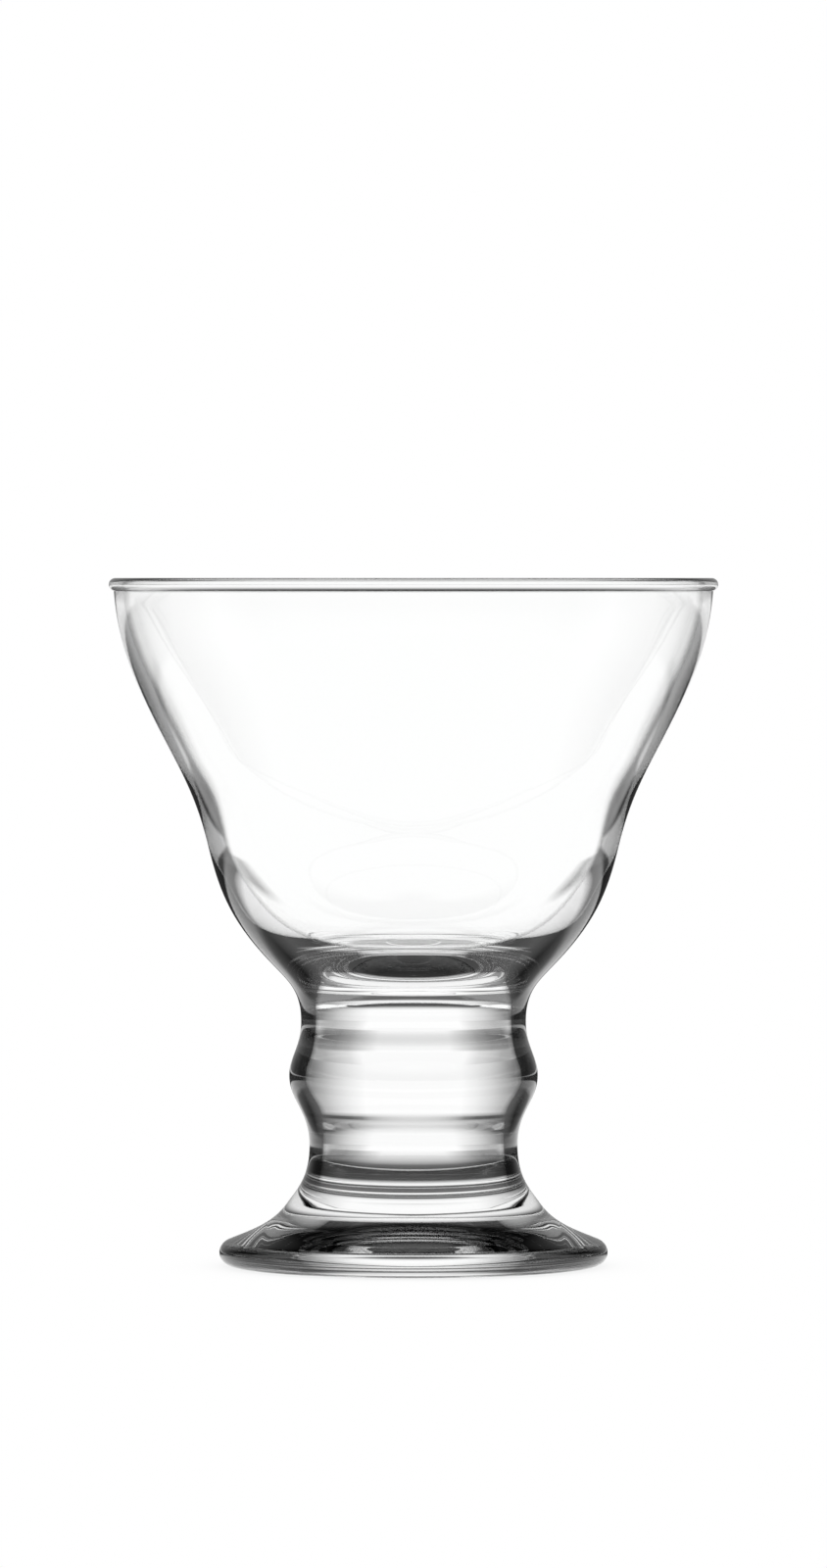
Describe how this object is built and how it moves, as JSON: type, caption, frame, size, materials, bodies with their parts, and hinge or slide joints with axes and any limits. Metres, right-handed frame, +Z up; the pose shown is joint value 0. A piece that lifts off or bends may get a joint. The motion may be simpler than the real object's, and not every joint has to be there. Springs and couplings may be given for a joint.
{
  "type": "footed dessert glass",
  "caption": "Clear glass dessert cup: a flared bowl with a beaded rim, on a short solid stem with one soft knop and a round foot, for serving ice cream.",
  "frame": {"origin": "middle of the base, in the plane that the foot's ring rests on", "axes": "+Z up along the axis that the whole glass is turned about; X and Y are alike"},
  "size_m": [0.0974, 0.0974, 0.11],
  "materials": {
    "clear_glass": "fire-polished, clear and colourless"
  },
  "bodies": {
    "root": {"bowl": "clear_glass", "stem": "clear_glass", "foot": "clear_glass"}
  },
  "joints": []
}
